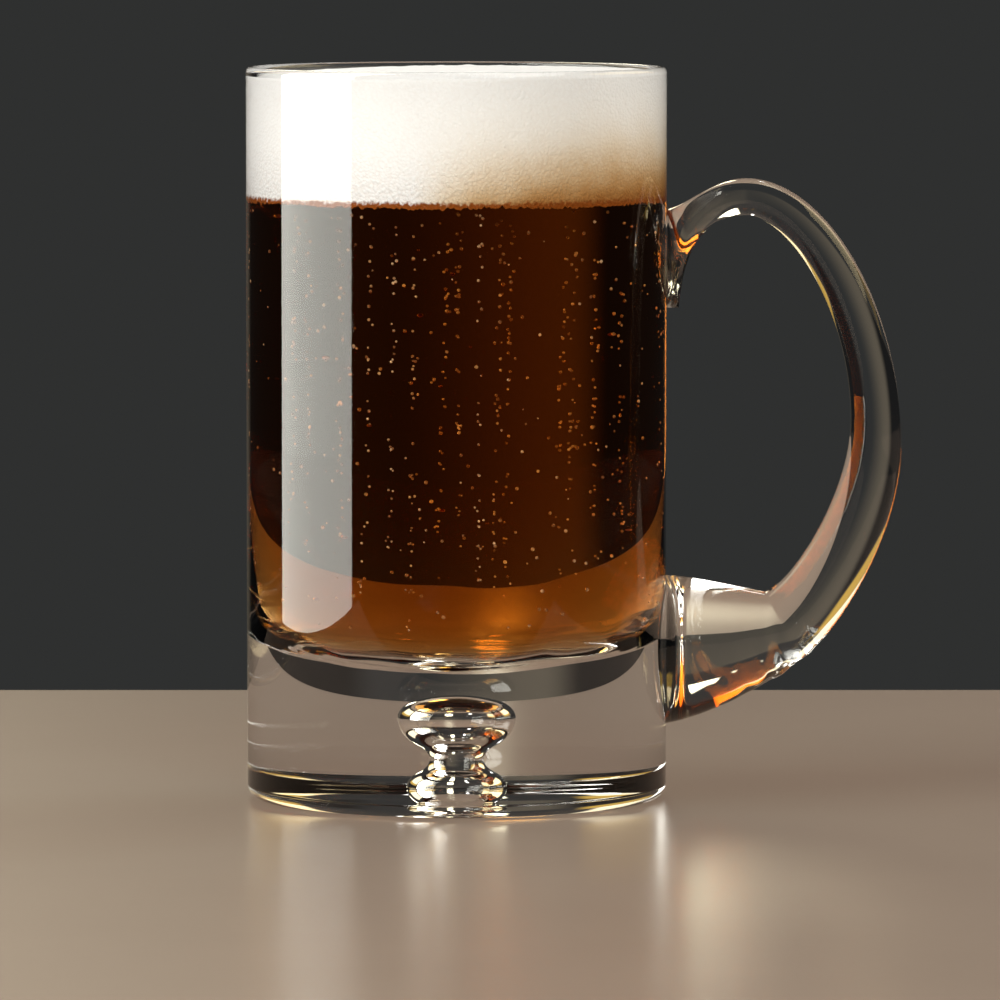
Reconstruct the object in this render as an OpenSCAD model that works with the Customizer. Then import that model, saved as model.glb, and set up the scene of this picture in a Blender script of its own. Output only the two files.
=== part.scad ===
// Straight-sided hand-made glass beer mug, full of beer under a foam head.
// A thick solid base traps a waisted air bubble, and a pulled glass handle is fused to the wall.
// The origin is the middle of the foot, on the table. +Z is up and the handle points along +X.

/* [Glass body] */
// Outside diameter of the wall
body_d = 85; // [76:0.5:100]
// Height from the table to the rim
body_h = 148; // [136:1:180]
// Thickness of the wall
wall_t = 2.2; // [1.6:0.1:4]
// Thickness of the base at its middle
base_t = 26.7; // [25:0.1:34]
// Radius of the dished floor inside
floor_r = 90; // [60:1:160]
// Fillet between the floor and the swell of the wall
floor_fillet_r = 10; // [5:0.5:14]
// Radius of the swell that thickens the wall towards the base
swell_r = 90; // [60:1:120]
// Turn of the swell from upright, in degrees
swell_turn = 26; // [12:1:30]
// Rounding of the bottom edge
foot_edge_r = 3; // [1:0.25:5]

/* [Air bubble] */
// Height of the bubble's top above the table
bubble_h = 22; // [21:0.25:24]
// Width of the cap
cap_d = 16; // [13:0.5:20]
// Height of the cap above its widest line
cap_rise = 4.8; // [4.5:0.1:6]
// Radius of the cap's rounded edge
cap_edge_r = 4; // [3:0.1:4.4]
// Radius of the cap's fuller underside
cap_under_r = 6.8; // [5.5:0.1:7.2]
// Width of the neck
neck_d = 7.4; // [6:0.2:9]
// Height of the neck above the table
neck_z = 9; // [8:0.25:10]
// Radius of the hollow from the neck to the lower lobe
neck_flare_r = 3; // [2.5:0.1:4]
// Width of the lower lobe
lobe_d = 13.6; // [12:0.2:16]
// Height of the lower lobe's widest line
lobe_z = 3.2; // [2:0.1:3.4]

/* [Handle] */
// Distance from the wall to the far side of the grip
handle_reach = 47.5; // [42:0.5:56]
// Drop from the rim to the crown of the handle
crown_drop = 22.5; // [18:0.5:26]
// Distance from the wall to the crown
crown_out = 16; // [13:0.5:19]
// Thickness at the crown
crown_t = 7.6; // [6:0.2:10]
// Width across the crown
crown_w = 10; // [8:0.5:14]
// Fall from the crown to the top of the upper joint
root_dip = 6.2; // [3:0.2:8]
// Width of the upper joint
root_w = 13; // [11:0.5:17]
// Height of the upper joint with its drawn-down tail
tail_h = 20; // [16:0.5:26]
// Thickness of the tail at its cut end
tail_t = 2.1; // [1.5:0.1:3]
// Width of the tail at its cut end
tail_w = 11.5; // [6:0.5:13]
// Thickness at the grip
grip_t = 10.2; // [8:0.2:12]
// Width across the grip
grip_w = 11.5; // [9:0.5:15]
// Height of the grip's widest point above the foot of the pad
grip_lift = 57; // [50:1:64]
// Distance from the wall to the inner crook above the pad
crook_out = 20; // [17:0.5:23]
// Fall of the pad's upper edge from the wall to the crook
crook_dip = 3.5; // [2:0.5:6]
// Distance from the wall to the outer heel below the crook
heel_out = 27.8; // [25:0.2:30]
// Height of the heel above the foot of the pad
heel_lift = 13.8; // [12:0.2:16]
// Width between the heel and the crook
heel_w = 15; // [12:0.5:19]
// Height of the pad's lowest edge above the table
pad_lift = 14.5; // [8:0.5:18]
// Height of the pad on the wall
pad_h = 30.7; // [26:0.5:34]
// Width of the pad along its upper edge
pad_w = 23; // [17:0.5:28]
// Width of the pad along its lower edge
pad_foot_w = 18; // [12:0.5:24]
// Extra width where the hot glass spreads on the wall
joint_flare = 4; // [0:0.5:6]
// Distance from the wall over which that flare fades
flare_reach = 4; // [2:0.5:8]

/* [Fill] */
// Depth of the foam from the rim down to the beer
foam_depth = 26.5; // [12:0.5:40]
// Depth of the foam's edge below the rim
foam_edge_drop = 1.5; // [1.5:0.25:6]
// Rise of the foam's crown above its edge
foam_rise = 2; // [1:0.25:6]

/* [Hidden] */
$fn = 96;

// Steps in each round stretch of an outline
arc_steps = 14;

// Glass body
body_r = body_d / 2;
cup_r = body_r - wall_t;
rim_r = wall_t / 2;
rim_z = body_h - rim_r;
swell_x = cup_r - swell_r;
fillet_x = swell_x + (swell_r - floor_fillet_r) * cos(swell_turn);
floor_z = base_t + floor_r;
fillet_z = floor_z - sqrt(pow(floor_r - floor_fillet_r, 2) - pow(fillet_x, 2));
fillet_turn = atan2(fillet_z - floor_z, fillet_x);
swell_z = fillet_z + (swell_r - floor_fillet_r) * sin(swell_turn);

// Bubble: each round meets the next without a corner
cap_z = bubble_h - cap_rise;
cap_edge_x = cap_d / 2 - cap_edge_r;
cap_top_r = (pow(cap_edge_x, 2) + pow(cap_rise, 2) - pow(cap_edge_r, 2)) / (2 * (cap_rise - cap_edge_r));
cap_top_z = bubble_h - cap_top_r;
cap_turn = atan2(cap_z - cap_top_z, cap_edge_x);
cap_under_x = cap_d / 2 - cap_under_r;
neck_r = neck_d / 2;
cap_to_neck = cap_z - neck_z;
neck_to_cap_x = neck_r - cap_under_x;
neck_hollow_r = (pow(neck_to_cap_x, 2) + pow(cap_to_neck, 2) - pow(cap_under_r, 2))
    / (2 * (cap_under_r - neck_to_cap_x));
neck_hollow_x = neck_r + neck_hollow_r;
neck_hollow_turn = atan2(cap_to_neck, cap_under_x - neck_hollow_x);
neck_flare_x = neck_r + neck_flare_r;
neck_to_lobe = neck_z - lobe_z;
lobe_reach = neck_flare_x - lobe_d / 2;
lobe_edge_r = (pow(neck_flare_r, 2) - pow(lobe_reach, 2) - pow(neck_to_lobe, 2))
    / (2 * (lobe_reach - neck_flare_r));
lobe_edge_x = lobe_d / 2 - lobe_edge_r;
neck_flare_turn = atan2(neck_to_lobe, neck_flare_x - lobe_edge_x);
mouth_turn = asin(-lobe_z / lobe_edge_r);

// Fill
beer_z = body_h - foam_depth;
foam_edge_z = body_h - foam_edge_drop;
foam_top_r = (pow(cup_r, 2) + pow(foam_rise, 2)) / (2 * foam_rise);

// Handle outline: distance from the wall, then height
joint_bed = 4;
crown_z = body_h - crown_drop;
root_z = crown_z - root_dip;
tail_z = root_z - tail_h;
grip_z = pad_lift + grip_lift;
pad_top_z = pad_lift + pad_h;
root = [0, root_z];
tail_end = [tail_t, tail_z];
crown = [crown_out, crown_z];
crown_inside = [crown_out, crown_z - crown_t];
far_side = [handle_reach, grip_z];
near_side = [handle_reach - grip_t, grip_z + grip_t / 2];
heel = [heel_out, pad_lift + heel_lift];
crook = [crook_out, pad_top_z - crook_dip];
pad_foot = [-joint_bed, pad_lift];
pad_top = [-joint_bed, pad_top_z];

// Arms along which the two outlines leave or reach those points
root_arm = [4.5, 0.8];
tail_arm = [0.7, 7.5];
crown_arm = [6.7, 0];
crown_inside_arm = [10.7, 0];
heel_arm = [7.5, 5.7];
crook_arm = [5.5, 1.6];
crook_shelf_arm = [6, -0.9];
pad_arm = [joint_bed + 6, 0];
// Share of the way to the next point that the bows of the grip hold their direction
outer_bow = 0.52;
inner_bow = 0.42;

// Squareness of the handle's section: 2 is an oval, more is boxier
section_power = 2;
section_sides = 28;
bed_rings = 2;
span_rings = 15;

// Each span of the handle: outer outline, inner outline, the widths along the outer
// and the inner edge at its start and at its end, and its number of rings
spans = [
    [
        straight([-joint_bed, root_z], root),
        straight([-joint_bed, tail_z], tail_end),
        [root_w, tail_w], [root_w, tail_w], bed_rings
    ],
    [
        [root, root + root_arm, crown - crown_arm, crown],
        [tail_end, tail_end + tail_arm, crown_inside - crown_inside_arm, crown_inside],
        [root_w, tail_w], [crown_w, crown_w], span_rings
    ],
    [
        bow(crown, far_side, outer_bow, outer_bow),
        bow(crown_inside, near_side, inner_bow, outer_bow),
        [crown_w, crown_w], [grip_w, grip_w], span_rings
    ],
    [
        [far_side, [handle_reach, mix(grip_z, heel[1], inner_bow)], heel + heel_arm, heel],
        [near_side, [near_side[0], mix(near_side[1], crook[1], inner_bow)], crook + crook_arm, crook],
        [grip_w, grip_w], [heel_w, heel_w], span_rings
    ],
    [
        [heel, heel - heel_arm, pad_foot + pad_arm, pad_foot],
        [crook, crook - crook_shelf_arm, pad_top + pad_arm, pad_top],
        [heel_w, heel_w], [pad_foot_w, pad_w], span_rings
    ]
];

// Straight span, and a bow that leaves a level and reaches b upright
function straight(a, b) = [a, mix(a, b, 1 / 3), mix(a, b, 2 / 3), b];
function bow(a, b, level, upright) = [a, [mix(a[0], b[0], level), a[1]], [b[0], mix(b[1], a[1], upright)], b];

function mix(a, b, t) = a + (b - a) * t;

// Point at share t of a curve that leaves p[0] towards p[1] and reaches p[3] from p[2]
function curve_at(p, t) =
    p[0] * pow(1 - t, 3) + 3 * p[1] * t * pow(1 - t, 2) + 3 * p[2] * t * t * (1 - t) + p[3] * pow(t, 3);

// Cosine or sine pulled outwards, so that a circle turns into a rounded box
function squared(v) = sign(v) * pow(abs(v), 2 / section_power);

// Extra width at a distance from the wall
function flare_at(out) = joint_flare * pow(max(0, 1 - max(0, out) / flare_reach), 2);

// One ring of the handle, square across the line from its inner to its outer outline
function handle_ring(outer, inner, widths) = [
    for (i = [0 : section_sides - 1])
        let (along = squared(cos(360 * i / section_sides)))
        let (across = squared(sin(360 * i / section_sides)))
        let (p = mix(inner, outer, (1 + along) / 2))
        let (width = mix(widths[1], widths[0], (1 + along) / 2) + flare_at(p[0]))
        [body_r + p[0], across * width / 2, p[1]]
];

// Every ring of the handle, from the upper joint to the lower one
function handle_rings() = [
    for (s = [0 : len(spans) - 1], k = [(s == 0 ? 0 : 1) : spans[s][4]])
        let (t = k / spans[s][4])
        handle_ring(curve_at(spans[s][0], t), curve_at(spans[s][1], t), mix(spans[s][2], spans[s][3], t))
];

// Points of a round stretch about c, from one angle to another
function arc(c, r, from, to) = [
    for (i = [0 : arc_steps])
        let (a = mix(from, to, i / arc_steps))
        c + r * [cos(a), sin(a)]
];

// Half of the cup's floor, from where the wall swells in to the axis
function floor_points() = concat(
    arc([swell_x, swell_z], swell_r, 0, -swell_turn),
    arc([fillet_x, fillet_z], floor_fillet_r, -swell_turn, fillet_turn),
    arc([0, floor_z], floor_r, fillet_turn, -90)
);

// Half of the bubble from its top down: mushroom cap, neck, and a lobe that opens at the foot
function bubble_points() = concat(
    arc([0, cap_top_z], cap_top_r, 90, cap_turn),
    arc([cap_edge_x, cap_z], cap_edge_r, cap_turn, 0),
    arc([cap_under_x, cap_z], cap_under_r, 0, neck_hollow_turn - 180),
    arc([neck_hollow_x, neck_z], neck_hollow_r, neck_hollow_turn, 180),
    arc([neck_flare_x, neck_z], neck_flare_r, 180, 180 + neck_flare_turn),
    arc([lobe_edge_x, lobe_z], lobe_edge_r, neck_flare_turn, mouth_turn)
);

// One blown body: wall with a fire-rounded rim, thick base and the bubble in it
module glass_body() {
    color([0.86, 0.92, 0.92, 0.35])
        rotate_extrude()
            polygon(concat(
                arc([body_r - foot_edge_r, foot_edge_r], foot_edge_r, -90, 0),
                arc([body_r - rim_r, rim_z], rim_r, 0, 180),
                floor_points(),
                bubble_points()
            ));
}

// Pulled handle: lofted along its two outlines and cut to sit on the wall
module handle() {
    rings = handle_rings();
    last = len(rings) - 1;
    n = section_sides;
    faces = [
        for (k = [0 : last - 1], i = [0 : n - 1])
            let (a = k * n + i)
            let (b = k * n + (i + 1) % n)
            each [[a, b, b + n], [a, b + n, a + n]],
        for (i = [1 : n - 2])
            each [[0, i + 1, i], [last * n, last * n + i, last * n + i + 1]]
    ];
    color([0.86, 0.92, 0.92, 0.35])
        difference() {
            polyhedron([for (ring = rings) each ring], faces);
            cylinder(r = body_r, h = body_h);
        }
}

// Beer: fills the hollow from the dished floor up to the foam
module beer() {
    color([0.30, 0.12, 0.02])
        rotate_extrude()
            polygon(concat(
                [[0, beer_z], [cup_r, beer_z]],
                floor_points()
            ));
}

// Foam head: stands on the beer and crowns gently at the rim
module foam_head() {
    color([0.96, 0.93, 0.85])
        rotate_extrude()
            intersection() {
                translate([0, beer_z])
                    square([cup_r, foam_depth + foam_rise]);
                translate([0, foam_edge_z + foam_rise - foam_top_r])
                    circle(foam_top_r);
            }
}

glass_body();
handle();
beer();
foam_head();
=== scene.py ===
"""Straight-sided glass beer mug with its beer and foam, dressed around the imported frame.

Each sub-assembly is a class that holds its sizes in millimetres, works out its surface with numpy
and dresses it with a finish. Surfaces become metres only where a mesh is made.
"""

import logging
import math
from dataclasses import dataclass, field
from enum import Enum
from typing import Any

import bpy
import numpy as np
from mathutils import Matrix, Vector
from numpy.typing import ArrayLike


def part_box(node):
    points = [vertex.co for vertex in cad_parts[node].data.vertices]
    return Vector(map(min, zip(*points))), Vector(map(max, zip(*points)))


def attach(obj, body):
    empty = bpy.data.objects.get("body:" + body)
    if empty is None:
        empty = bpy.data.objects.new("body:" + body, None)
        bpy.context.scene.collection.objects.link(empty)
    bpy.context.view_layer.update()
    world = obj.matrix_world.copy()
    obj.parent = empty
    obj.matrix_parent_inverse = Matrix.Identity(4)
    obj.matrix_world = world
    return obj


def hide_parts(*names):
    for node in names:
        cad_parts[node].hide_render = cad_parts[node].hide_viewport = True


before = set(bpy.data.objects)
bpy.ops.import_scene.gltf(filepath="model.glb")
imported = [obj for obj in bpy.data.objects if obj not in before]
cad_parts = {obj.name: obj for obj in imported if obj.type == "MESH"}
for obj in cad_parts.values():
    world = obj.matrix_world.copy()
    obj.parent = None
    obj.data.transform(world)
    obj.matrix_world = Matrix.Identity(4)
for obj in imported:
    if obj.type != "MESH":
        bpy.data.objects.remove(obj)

Pair = tuple[float, float]
Triple = tuple[float, float, float]
Socket = bpy.types.NodeSocket

MM = 0.001
SAME_POINT = 1e-6
BODY = "root"
WHITE = (1.0, 1.0, 1.0, 1.0)
BLACK = (0.0, 0.0, 0.0, 1.0)

log = logging.getLogger("mug")


class Slot(Enum):
    """The record's material slots."""

    GLASS = "clear_glass"
    BEER = "beer"
    FOAM = "foam"


# Surfaces


@dataclass
class Surface:
    """One mesh as arrays: points in millimetres, and faces with four and with three corners."""

    points: np.ndarray
    quads: np.ndarray
    triangles: np.ndarray

    def turned_out(self) -> "Surface":
        """Turn the faces outwards: a negative enclosed volume means that they point in.

        Returns:
            The same points, with faces that point outwards.
        """
        fans = np.concatenate([self.quads[:, [0, 1, 2]], self.quads[:, [0, 2, 3]], self.triangles])
        a, b, c = (self.points[fans[:, k]] for k in range(3))
        if np.einsum("ij,ij->i", a, np.cross(b, c)).sum() >= 0:
            return self
        return Surface(self.points, self.quads[:, ::-1], self.triangles[:, ::-1])


def stack_rings(rings: np.ndarray, first_pole: np.ndarray, last_pole: np.ndarray) -> Surface:
    """Skin a stack of closed rings and shut both ends with a pole.

    Quads join point j of ring i to point j + 1 and to the same points of ring i + 1. A fan joins
    each end ring to its pole.

    Args:
        rings: Points of shape (rings, points per ring, 3).
        first_pole: Point that shuts the first ring.
        last_pole: Point that shuts the last ring.

    Returns:
        The closed surface, faces outwards.
    """
    count, sides, _ = rings.shape
    here = np.arange(sides)
    beside = (here + 1) % sides
    base = np.arange(count - 1)[:, None] * sides
    corners = [base + here, base + beside, base + sides + beside, base + sides + here]
    quads = np.stack(corners, axis=-1).reshape(-1, 4)
    end = (count - 1) * sides
    pole = np.full(sides, count * sides)
    first_fan = np.stack([pole, beside, here], axis=1)
    last_fan = np.stack([pole + 1, end + here, end + beside], axis=1)
    points = np.concatenate([rings.reshape(-1, 3), [first_pole], [last_pole]])
    return Surface(points, quads, np.concatenate([first_fan, last_fan])).turned_out()


def revolve(profile: np.ndarray, sides: int) -> Surface:
    """Spin a half outline about Z: row i, column j is (r_i cos a_j, r_i sin a_j, z_i).

    Args:
        profile: Points (r, z) whose first and last lie on the axis.
        sides: Points per ring.

    Returns:
        The closed surface of revolution.
    """
    angle = np.linspace(0, 2 * np.pi, sides, endpoint=False)
    r, z = profile[1:-1, :1], profile[1:-1, 1:]
    rings = np.stack([r * np.cos(angle), r * np.sin(angle), z + 0 * angle], axis=-1)
    poles = [np.array([0, 0, profile[k, 1]]) for k in (0, -1)]
    return stack_rings(rings, *poles)


def scatter(centres: np.ndarray, radii: np.ndarray, sides: int = 8, rings: int = 5) -> Surface:
    """Put one small ball at each centre: the same coarse ball, scaled by its radius and moved.

    Args:
        centres: Points of shape (balls, 3).
        radii: Radius of each ball.
        sides: Points in each ring of a ball.
        rings: Rings between the poles of a ball.

    Returns:
        All the balls as one surface.
    """
    turn = np.linspace(-np.pi / 2, np.pi / 2, rings + 2)
    ball = revolve(np.stack([np.cos(turn), np.sin(turn)], axis=1), sides)
    points = centres[:, None, :] + radii[:, None, None] * ball.points
    step = np.arange(len(centres))[:, None, None] * len(ball.points)
    quads = (ball.quads + step).reshape(-1, 4)
    triangles = (ball.triangles + step).reshape(-1, 3)
    return Surface(points.reshape(-1, 3), quads, triangles)


def arc(centre: Pair, radius: float, start: float, end: float, steps: int = 24) -> np.ndarray:
    """Points of a round stretch: centre plus radius times (cos a, sin a), between two angles.

    Args:
        centre: Middle of the circle.
        radius: Its radius.
        start: First angle in degrees.
        end: Last angle in degrees.
        steps: Number of steps.

    Returns:
        Points of shape (steps + 1, 2).
    """
    angle = np.radians(np.linspace(start, end, steps + 1))
    return np.asarray(centre) + radius * np.stack([np.cos(angle), np.sin(angle)], axis=1)


def run(start: ArrayLike, end: ArrayLike, steps: int = 24) -> np.ndarray:
    """Points of a straight stretch, crowded at both ends, so that shading stays true at a corner.

    The share of the way is (1 - cos a) / 2, with a from 0 to 180 degrees, and once more the same
    of that.

    Args:
        start: First point.
        end: Last point.
        steps: Number of steps.

    Returns:
        Points of shape (steps + 1, 2).
    """
    share = (1 - np.cos(np.linspace(0, np.pi, steps + 1))) / 2
    share = (1 - np.cos(np.pi * share)) / 2
    return np.asarray(start) + share[:, None] * (np.asarray(end) - np.asarray(start))


def join_outline(*stretches: np.ndarray) -> np.ndarray:
    """Put the stretches of an outline end to end, without the points that repeat.

    Args:
        *stretches: Points of each stretch, in order.

    Returns:
        The points of the whole outline.
    """
    points = np.concatenate(stretches)
    step = np.linalg.norm(np.diff(points, axis=0), axis=1)
    return points[np.concatenate([[True], step > SAME_POINT])]


def cubic(p: np.ndarray, t: np.ndarray) -> np.ndarray:
    """Point at share t of a cubic: four points times (1-t)^3, 3t(1-t)^2, 3t^2(1-t) and t^3."""
    t, left = t[..., None], 1 - t[..., None]
    return p[0] * left**3 + 3 * p[1] * t * left**2 + 3 * p[2] * t**2 * left + p[3] * t**3


def straight(a: ArrayLike, b: ArrayLike) -> np.ndarray:
    """Return the four points of a cubic that runs straight from a to b."""
    return np.asarray(a) + np.linspace(0, 1, 4)[:, None] * (np.asarray(b) - np.asarray(a))


def bow(a: np.ndarray, b: np.ndarray, level: float, upright: float) -> np.ndarray:
    """Return the four points of a cubic that leaves a level and reaches b upright."""
    step = b - a
    return np.array([a, a + [step[0] * level, 0], b - [0, step[1] * upright], b])


def fade(values: np.ndarray, start: float, end: float) -> np.ndarray:
    """Return 0 at start, 1 at end and the share of the way between them, for each value."""
    return np.clip((values - start) / (end - start), 0, 1)


def smooth_noise(
    samples: np.ndarray, reach: float, seed: int, waves: int = 40, slowest: float = 0.3
) -> np.ndarray:
    """Sum of sine waves in random directions and phases, scaled to about -1 to 1.

    Args:
        samples: Points of shape (..., k) at which it is read.
        reach: Shortest wave length, in the unit of the samples.
        seed: Seed of the random draws.
        waves: Number of waves.
        slowest: Least pace of a wave, as a share of the pace of the shortest.

    Returns:
        Values of shape (...).
    """
    rng = np.random.default_rng(seed)
    way = rng.normal(size=(waves, samples.shape[-1]))
    pace = rng.uniform(slowest, 1.0, (waves, 1)) * 2 * np.pi / reach
    way *= pace / np.linalg.norm(way, axis=1, keepdims=True)
    phase = rng.uniform(0, 2 * np.pi, waves)
    return np.sin(samples @ way.T + phase).sum(axis=-1) * math.sqrt(2 / waves) / 2


def make_piece(name: str, surface: Surface, *materials: bpy.types.Material) -> bpy.types.Object:
    """Turn a surface into a smooth mesh object at the origin, in metres.

    Args:
        name: Name of the piece.
        surface: Its points and faces.
        *materials: Its finish, and any finish that some of its faces have instead.

    Returns:
        The new object.
    """
    mesh = bpy.data.meshes.new(name)
    faces = surface.quads.tolist() + surface.triangles.tolist()
    mesh.from_pydata((surface.points * MM).tolist(), [], faces)
    mesh.polygons.foreach_set("use_smooth", np.ones(len(faces), dtype=bool))
    for material in materials:
        mesh.materials.append(material)
    mesh.update()
    piece = bpy.data.objects.new(name, mesh)
    bpy.context.scene.collection.objects.link(piece)
    return piece


def settle(piece: bpy.types.Object, slot: Slot, *nodes: str) -> bpy.types.Object:
    """Ride a piece on the mug, hide the nodes that it stands for, and log its faces and slot.

    Args:
        piece: The piece.
        slot: Its material slot.
        *nodes: Nodes of the frame that it stands for.

    Returns:
        The piece.
    """
    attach(piece, BODY)
    if nodes:
        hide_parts(*nodes)
    log.info("%s: %d faces, slot %s", piece.name, len(piece.data.polygons), slot.value)
    return piece


# Finishes


class NodeSheet:
    """A node tree with short calls that add a node and set or link its inputs."""

    def __init__(self, tree: bpy.types.NodeTree) -> None:
        """Empty the tree."""
        self.tree = tree
        tree.nodes.clear()

    def add(
        self, kind: str, inputs: dict[Any, Any] | None = None, **settings: Any
    ) -> bpy.types.Node:
        """Add a node.

        Args:
            kind: Its type name, after "ShaderNode".
            inputs: Socket names or numbers, each with a value to set or a socket to link from.
            **settings: Properties of the node.

        Returns:
            The node.
        """
        node = self.tree.nodes.new("ShaderNode" + kind)
        for key, value in settings.items():
            setattr(node, key, value)
        for key, value in (inputs or {}).items():
            if isinstance(value, bpy.types.NodeSocket):
                self.tree.links.new(value, node.inputs[key])
            else:
                node.inputs[key].default_value = value
        return node

    def math(self, operation: str, *values: Any) -> Socket:
        """Add a Math node and return its result."""
        return self.add("Math", dict(enumerate(values)), operation=operation).outputs[0]

    def place(self) -> Socket:
        """Return the point that is shaded, in the piece's own metres."""
        return self.add("TexCoord").outputs["Object"]

    def noise(self, place: Socket, size: float, detail: float) -> Socket:
        """Return a noise whose patches are about size wide, in millimetres."""
        grain = {"Vector": place, "Scale": 1 / (size * MM), "Detail": detail}
        return self.add("TexNoise", grain).outputs[0]

    def cells(self, place: Socket, size: float, feature: str) -> Socket:
        """Return the distance from the middle of cells that are about size wide, in millimetres."""
        froth = {"Vector": place, "Scale": 1 / (size * MM)}
        return self.add("TexVoronoi", froth, feature=feature).outputs["Distance"]

    def ramp(self, value: Any, start: float, end: float, **settings: Any) -> Socket:
        """Return 0 at start, 1 at end and the share of the way between them."""
        return self.add("MapRange", {"Value": value, 1: start, 2: end}, **settings).outputs[0]

    def between(self, value: Any, low: float, high: float, soft: float) -> Socket:
        """Mask a stretch of values: a soft rise at its start times a soft fall at its end.

        Args:
            value: What is masked.
            low: Where the stretch starts.
            high: Where it ends.
            soft: Width of both edges.

        Returns:
            1 within the stretch and 0 elsewhere.
        """
        half = soft / 2
        rise = self.ramp(value, low - half, low + half, interpolation_type="SMOOTHSTEP")
        fall = self.ramp(value, high + half, high - half, interpolation_type="SMOOTHSTEP")
        return self.math("MULTIPLY", rise, fall)

    def blend(self, factor: Any, first: Any, second: Any) -> Socket:
        """Mix two colours and return the result."""
        return self.add("Mix", {0: factor, 6: first, 7: second}, data_type="RGBA").outputs[2]

    def polished(self, ior: float, inputs: dict[str, Any]) -> Socket:
        """Return a clear, polished shader that bends light by its index, with more inputs set."""
        clear = {"Base Color": WHITE, "Roughness": 0.0, "IOR": ior, "Transmission Weight": 1.0}
        return self.add("BsdfPrincipled", clear | inputs).outputs[0]

    def let_lamps_through(
        self, seen: Socket, shade: tuple[float, ...] = WHITE, **outputs: Socket
    ) -> None:
        """Set the material's output: a shader for rays that look, a clear one for rays that light.

        Args:
            seen: Shader for rays that look.
            shade: Share of each colour of a lamp's light that passes.
            **outputs: Other inputs of the output node.
        """
        clear = self.add("BsdfTransparent", {"Color": shade}).outputs[0]
        lamp_ray = self.add("LightPath").outputs["Is Shadow Ray"]
        both = self.add("MixShader", {0: lamp_ray, 1: seen, 2: clear}).outputs[0]
        self.add("OutputMaterial", {"Surface": both, **outputs})


def new_material(name: str) -> tuple[bpy.types.Material, NodeSheet]:
    """Make a fresh material.

    Args:
        name: Name of the material.

    Returns:
        The material and its empty node sheet.
    """
    material = bpy.data.materials.new(name)
    material.use_nodes = True
    return material, NodeSheet(material.node_tree)


@dataclass(frozen=True)
class GlassFinish:
    """Clear polished glass that lets lamps through, with the faint waves of hand work."""

    name: str
    ior: float = 1.5
    shade: Triple = (0.96, 0.97, 0.97)
    wave_size: float = 18.0
    wave_height: float = 0.004
    wave_stretch: Triple = (1.0, 1.0, 0.25)

    def material(self) -> bpy.types.Material:
        """Make the glass, with its waves as a bump.

        Returns:
            The material.
        """
        material, sheet = new_material(self.name)
        stretch = {"Vector": sheet.place(), "Scale": self.wave_stretch}
        waves = sheet.noise(sheet.add("Mapping", stretch).outputs[0], self.wave_size, detail=1.0)
        relief = {"Height": waves, "Strength": 1.0, "Distance": self.wave_height * MM}
        bump = sheet.add("Bump", relief).outputs[0]
        sheet.let_lamps_through(sheet.polished(self.ior, {"Normal": bump}), (*self.shade, 1.0))
        return material


@dataclass(frozen=True)
class WettedGlassFinish:
    """Glass where the beer wets it: light passes with no mirror image, or is turned back whole."""

    name: str = "wetted_glass"
    ior: float = 1.5
    turned_back: float = 0.6

    def material(self) -> bpy.types.Material:
        """Make the wetted glass: a mirror at angles that turn most light back, clear elsewhere.

        Returns:
            The material.
        """
        material, sheet = new_material(self.name)
        glass = sheet.polished(self.ior, {"Specular Tint": BLACK})
        mirror = sheet.add("BsdfGlossy", {"Color": WHITE, "Roughness": 0.0}).outputs[0]
        share = sheet.add("Fresnel", {"IOR": self.ior}).outputs[0]
        whole = sheet.math("GREATER_THAN", share, self.turned_back)
        sheet.let_lamps_through(sheet.add("MixShader", {0: whole, 1: glass, 2: mirror}).outputs[0])
        return material


@dataclass(frozen=True)
class BeerFinish:
    """Amber beer: colour comes from how far light travels in it."""

    name: str = "amber_beer"
    ior: float = 1.345
    loss: Triple = (11.5, 33.0, 75.0)

    def material(self) -> bpy.types.Material:
        """Make the beer, whose volume takes a share of each colour per metre.

        Returns:
            The material.
        """
        material, sheet = new_material(self.name)
        strongest = max(self.loss)
        kept = tuple(1 - share / strongest for share in self.loss)
        depth = sheet.add("VolumeAbsorption", {"Color": (*kept, 1.0), "Density": strongest})
        seen = sheet.polished(self.ior, {"Specular Tint": BLACK})
        sheet.let_lamps_through(seen, Volume=depth.outputs[0])
        return material


@dataclass(frozen=True)
class GasFinish:
    """Gas bubbles in the beer: a skin that bends light the other way, with painted gold glints."""

    name: str = "gas_in_beer"
    ior: float = 0.745
    # pale and brown are painted glints: the gold that a bubble catches by bending light through the
    # beer is painted on the part of its skin that is not clear.
    pale: Triple = (0.86, 0.60, 0.37)
    brown: Triple = (0.30, 0.13, 0.06)
    clearness: float = 0.55
    patch: float = 1.5
    brown_below: float = 0.42
    pale_above: float = 0.72

    def material(self) -> bpy.types.Material:
        """Make the gas: from bubble to bubble its painted glint wanders between brown and pale.

        Returns:
            The material.
        """
        material, sheet = new_material(self.name)
        chance = sheet.noise(sheet.place(), self.patch, detail=0.0)
        share = sheet.ramp(chance, self.brown_below, self.pale_above)
        tint = sheet.blend(share, (*self.brown, 1.0), (*self.pale, 1.0))
        # The share of the skin that is not clear shows the painted glint under the lamps.
        look = {"Base Color": tint, "Transmission Weight": self.clearness}
        sheet.let_lamps_through(sheet.polished(self.ior, look))
        return material


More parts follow.
